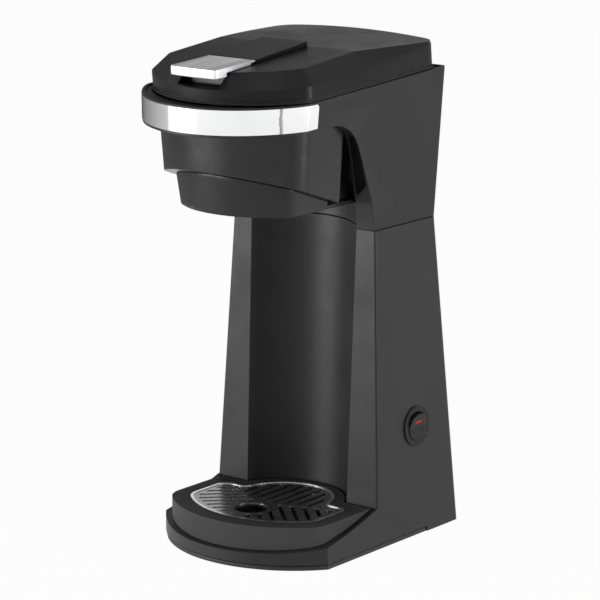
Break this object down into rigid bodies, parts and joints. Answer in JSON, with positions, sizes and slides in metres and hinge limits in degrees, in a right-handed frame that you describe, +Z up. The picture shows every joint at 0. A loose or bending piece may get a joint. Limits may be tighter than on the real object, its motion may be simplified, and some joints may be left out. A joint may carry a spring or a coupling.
{
  "type": "pod coffee machine",
  "caption": "Slim single-serve pod coffee machine: tapered column with a concave cup niche, overhanging brew head, hinged lid with a silver latch, and a pull-out drip tray.",
  "frame": {"origin": "bottom centre of the machine's bounding box, on the surface it stands on", "axes": "+Z up, -Y to the front where the cup stands, +X to the switch side"},
  "size_m": [0.125, 0.1856, 0.3032],
  "materials": {
    "case": "fine matte texture",
    "lid": "satin",
    "tray": "satin",
    "chrome": "polished plated trim",
    "silver": "silver satin paint",
    "grate": "dark satin",
    "switch": "semi-gloss",
    "red": "printed line",
    "inner": "plain moulded",
    "tank": "smooth",
    "rubber": "matte",
    "silicone": "translucent silicone",
    "steel": "bright zinc",
    "aluminium": "cast"
  },
  "bodies": {
    "machine": {"lower_housing": "case", "base_plate": "inner", "rubber_feet": "rubber", "base_screws": "steel", "housing_screws": "steel", "upper_housing": "case", "chrome_band": "chrome", "head_shroud": "case", "spout_shroud": "case", "top_deck": "inner", "pod_holder": "inner", "lower_needle": "steel", "water_tank": "tank", "tank_strainer": "inner", "heater_body": "aluminium", "heater_tube": "aluminium", "heater_bracket": "steel", "thermostat": "inner", "thermal_fuse": "inner", "check_valve": "inner", "cold_hose": "silicone", "hot_riser": "silicone", "cord_gland": "rubber", "switch_bezel": "switch", "switch_terminals": "steel", "hinge_pins": "steel"},
    "lid": {"lid_shell": "lid", "lid_liner": "inner", "lid_gasket": "rubber", "lid_pad": "lid", "latch_pin": "steel", "latch_spring": "steel", "needle_block": "inner", "pod_gasket": "silicone", "top_needle": "steel", "lid_hose": "silicone"},
    "latch": {"latch_plate": "silver"},
    "rocker": {"switch_rocker": "switch", "rocker_marker": "red"},
    "tray": {"drip_tray": "tray"},
    "grate": {"drip_grate": "grate", "grate_ring": "silver"}
  },
  "joints": [
    {"name": "lid_hinge", "type": "hinge", "parent": "machine", "child": "lid", "pos_m": [0, 0.0759, 0.288], "axis": [-1, 0, 0], "range_deg": [0, 90]},
    {"name": "latch_tilt", "type": "hinge", "parent": "lid", "child": "latch", "pos_m": [0, -0.051, 0.29393], "axis": [-1, 0, 0], "range_deg": [0, 10], "stiffness_Nm_per_rad": 0.3, "springref_deg": -5.73},
    {"name": "rocker_tip", "type": "hinge", "parent": "machine", "child": "rocker", "pos_m": [0.0579, 0.0512, 0.06863], "axis": [0, -1, 0], "range_deg": [0, 16]},
    {"name": "tray_slide", "type": "slide", "parent": "machine", "child": "tray", "axis": [0, -1, 0], "range_m": [0, 0.11]},
    {"name": "grate_lift", "type": "slide", "parent": "tray", "child": "grate", "axis": [0, 0, 1], "range_m": [0, 0.05]}
  ]
}
